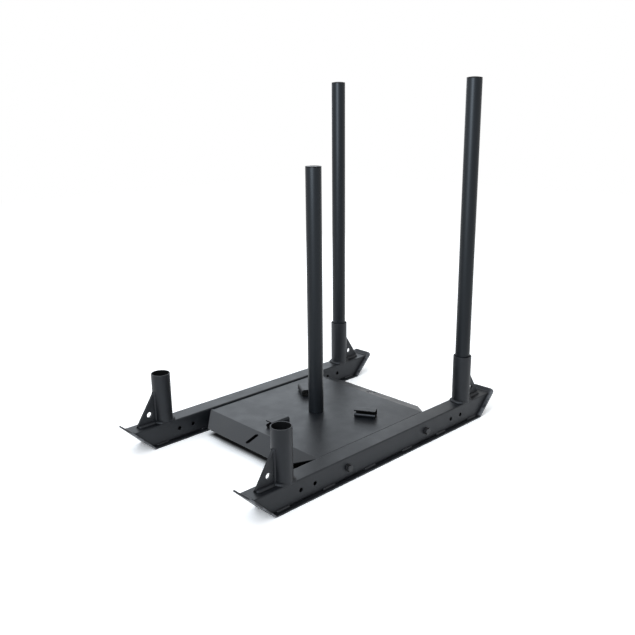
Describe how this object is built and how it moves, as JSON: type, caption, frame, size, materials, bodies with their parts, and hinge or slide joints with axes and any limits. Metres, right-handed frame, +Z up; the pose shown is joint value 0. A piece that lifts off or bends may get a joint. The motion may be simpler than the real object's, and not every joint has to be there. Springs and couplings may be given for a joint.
{
  "type": "weight sled",
  "caption": "Steel weight sled on two runner rails, with a folded deck and disc post between them, sockets at the rail ends and lift-out push poles.",
  "frame": {"origin": "on the floor, midway between the two rails and midway along them", "axes": "+Z up, Y along the rails with the two push poles at the +Y end, +X to the right-hand rail as seen from the empty sockets at the -Y end"},
  "size_m": [0.666, 1.092, 1.1236],
  "materials": {
    "black_coat": "satin black powder coat with a fine texture",
    "pole_coat": "smooth satin black powder coat",
    "plug_plastic": "moulded black plastic",
    "black_bolts": "blackened steel",
    "bare_steel": "zinc-plated steel"
  },
  "bodies": {
    "sled": {"left_rail_tube": "black_coat", "right_rail_tube": "black_coat", "left_runner_shoe": "black_coat", "right_runner_shoe": "black_coat", "front_left_socket": "black_coat", "front_right_socket": "black_coat", "rear_left_socket": "black_coat", "rear_right_socket": "black_coat", "front_left_gusset": "black_coat", "front_right_gusset": "black_coat", "rear_left_gusset": "black_coat", "rear_right_gusset": "black_coat", "deck_tray": "black_coat", "right_plate_rest": "black_coat", "left_plate_rest": "black_coat", "front_plate_rest": "black_coat", "weight_post": "black_coat", "post_cap": "plug_plastic", "post_base_plug": "bare_steel", "post_washer": "bare_steel", "post_bolt": "bare_steel", "front_left_deck_bolt": "black_bolts", "front_right_deck_bolt": "black_bolts", "rear_left_deck_bolt": "black_bolts", "rear_right_deck_bolt": "black_bolts", "front_left_deck_nut": "black_bolts", "front_right_deck_nut": "black_bolts", "rear_left_deck_nut": "black_bolts", "rear_right_deck_nut": "black_bolts", "front_left_head_washer": "black_bolts", "front_right_head_washer": "black_bolts", "rear_left_head_washer": "black_bolts", "rear_right_head_washer": "black_bolts", "front_left_nut_washer": "black_bolts", "front_right_nut_washer": "black_bolts", "rear_left_nut_washer": "black_bolts", "rear_right_nut_washer": "black_bolts"},
    "left_pole": {"left_push_pole": "pole_coat", "left_pole_foot_plug": "plug_plastic", "left_pole_cap": "plug_plastic"},
    "right_pole": {"right_push_pole": "pole_coat", "right_pole_foot_plug": "plug_plastic", "right_pole_cap": "plug_plastic"}
  },
  "joints": [
    {"name": "left_pole_lift", "type": "slide", "parent": "sled", "child": "left_pole", "axis": [0, 0, 1], "range_m": [0, 0.2]},
    {"name": "right_pole_lift", "type": "slide", "parent": "sled", "child": "right_pole", "axis": [0, 0, 1], "range_m": [0, 0.2]}
  ]
}
